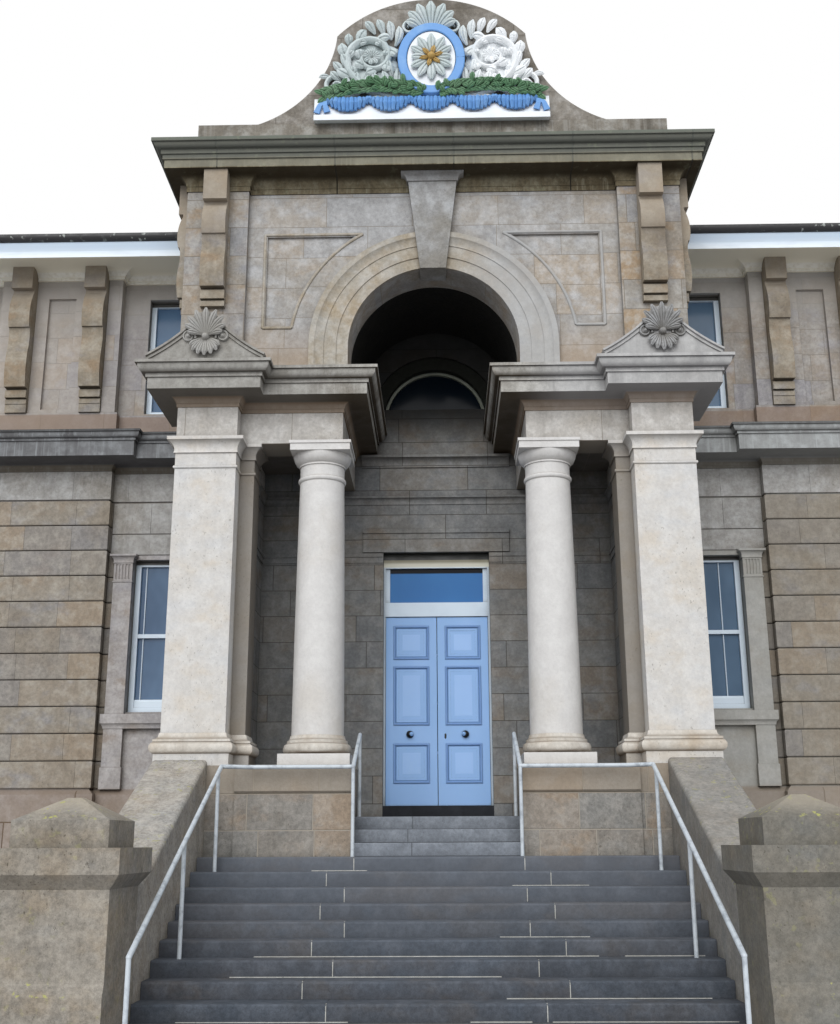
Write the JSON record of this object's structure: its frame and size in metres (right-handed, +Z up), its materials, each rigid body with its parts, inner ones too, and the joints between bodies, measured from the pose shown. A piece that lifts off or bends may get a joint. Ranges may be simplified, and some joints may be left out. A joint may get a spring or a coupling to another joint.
{
  "type": "courthouse",
  "caption": "Stone courthouse with a raised entrance stair, a porch of columns and piers, a vaulted arch under a shaped gable, rusticated wings and double doors that open inwards",
  "frame": {"origin": "centre of the bounding box in plan, at ground level", "axes": "+Z up, the entrance looks towards -Y, +X to the right of someone who faces the entrance"},
  "size_m": [21.93, 16.2089, 13.405],
  "materials": {
    "pale_sandstone": "dressed sandstone, grey-cream to pale brown, streaked with dark stains",
    "brown_sandstone": "rusticated sandstone, warm grey-brown, weathered darker on ledges",
    "bluestone": "sawn dark blue-grey stone with worn edges",
    "blue_timber": "satin light blue paint",
    "white_timber": "white gloss paint, slightly dirty",
    "glass": "clear window glass that looks dark from outside",
    "slate": "dark grey roofing slate",
    "gutter_metal": "dark grey cast gutter with pale lichen",
    "galvanised_steel": "dull grey painted pipe",
    "painted_relief": "carved stone painted in grey, blue, green and pale gold",
    "floor_boards": "worn timber boards"
  },
  "bodies": {
    "building": {"arch_wall_left": "pale_sandstone", "arch_wall_right": "pale_sandstone", "archivolt": "pale_sandstone", "back_wall": "brown_sandstone", "blocking_course": "pale_sandstone", "column_left": "pale_sandstone", "column_right": "pale_sandstone", "cornice_left": "pale_sandstone", "cornice_right": "pale_sandstone", "door_frame": "blue_timber", "door_sill": "bluestone", "eaves_left": "white_timber", "eaves_right": "white_timber", "entablature_left": "pale_sandstone", "entablature_right": "pale_sandstone", "fanlight_glass": "glass", "front_wall_lower_left": "brown_sandstone", "front_wall_lower_right": "brown_sandstone", "front_wall_upper_left": "brown_sandstone", "front_wall_upper_right": "brown_sandstone", "gable": "pale_sandstone", "gable_relief": "painted_relief", "ground_floor": "floor_boards", "gutters": "gutter_metal", "handrails": "galvanised_steel", "keystone": "pale_sandstone", "lunette_frame": "white_timber", "main_cornice": "pale_sandstone", "main_steps": "bluestone", "newels": "brown_sandstone", "pedestal_left": "brown_sandstone", "pedestal_right": "brown_sandstone", "pier_left": "pale_sandstone", "pier_pediments": "pale_sandstone", "pier_right": "pale_sandstone", "porch_core": "brown_sandstone", "porch_floor": "bluestone", "porch_side_walls": "pale_sandstone", "porch_steps": "bluestone", "porch_vault": "pale_sandstone", "porch_wall_left": "brown_sandstone", "porch_wall_right": "brown_sandstone", "roof": "slate", "side_wall_left": "brown_sandstone", "side_wall_right": "brown_sandstone", "stair_walls": "brown_sandstone", "string_cornice_left": "brown_sandstone", "string_cornice_right": "brown_sandstone", "upper_consoles": "pale_sandstone", "upper_floor": "floor_boards", "upper_pier_left": "pale_sandstone", "upper_pier_right": "pale_sandstone", "wall_over_door": "brown_sandstone", "window_frames": "white_timber", "window_glass": "glass", "wing_consoles": "brown_sandstone"},
    "door_leaf_right": {"door_leaf_right": "blue_timber"},
    "door_leaf_left": {"door_leaf_left": "blue_timber"}
  },
  "joints": [
    {"name": "right_leaf_hinge", "type": "hinge", "parent": "building", "child": "door_leaf_right", "pos_m": [0.721, -1.4197, 3.73], "axis": [0, 0, -1], "range_deg": [0, 90]},
    {"name": "left_leaf_hinge", "type": "hinge", "parent": "building", "child": "door_leaf_left", "pos_m": [-0.721, -1.4197, 3.73], "axis": [0, 0, 1], "range_deg": [0, 90]}
  ]
}
